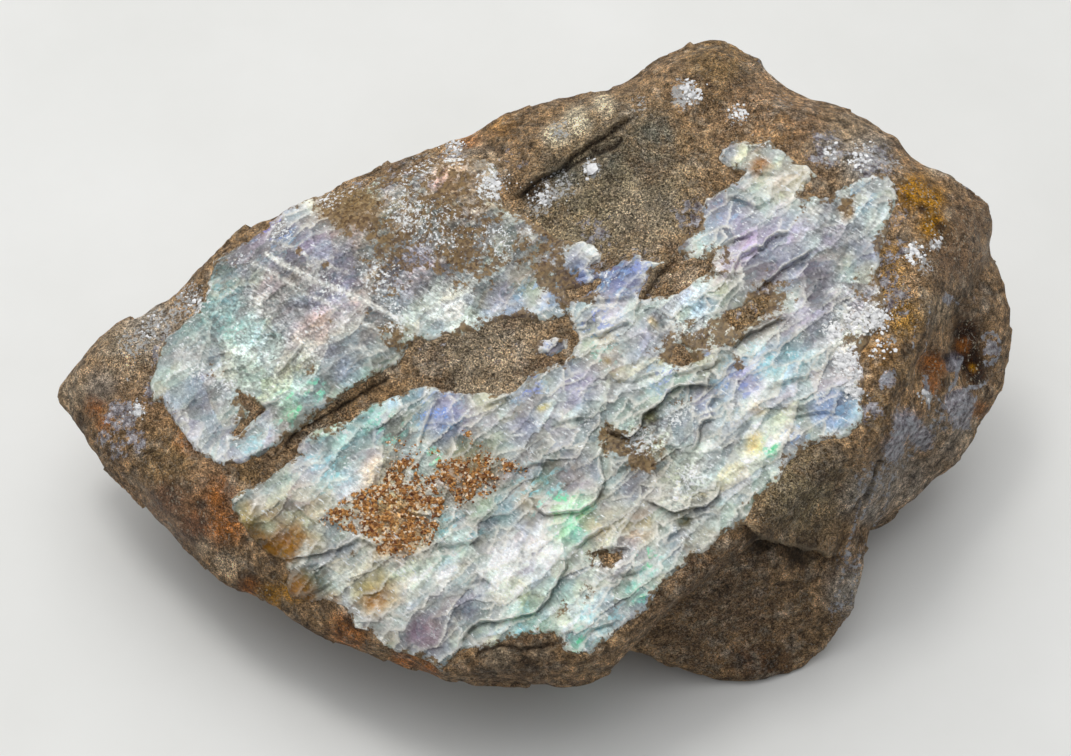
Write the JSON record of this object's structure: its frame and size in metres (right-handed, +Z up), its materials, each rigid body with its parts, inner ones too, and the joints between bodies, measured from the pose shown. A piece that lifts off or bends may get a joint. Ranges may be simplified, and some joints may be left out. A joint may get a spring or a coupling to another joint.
{
  "type": "rough opal specimen",
  "caption": "Hand-sized rough opal stone: brown ironstone host with a broken seam of pale opal across its upper face, resting on a flat foot.",
  "frame": {"origin": "near the middle of the flat patch under the stone that it rests on", "axes": "+Z up, X along the stone's long axis from the thin nose (-X) to the thick broken end (+X), opal face looks up and towards -Y"},
  "size_m": [0.1601, 0.1072, 0.0531],
  "materials": {
    "stone": "rough broken ironstone and sandstone with glossy pale blue-green and violet opal over the upper face"
  },
  "bodies": {
    "root": {"opal_stone": "stone"}
  },
  "joints": []
}
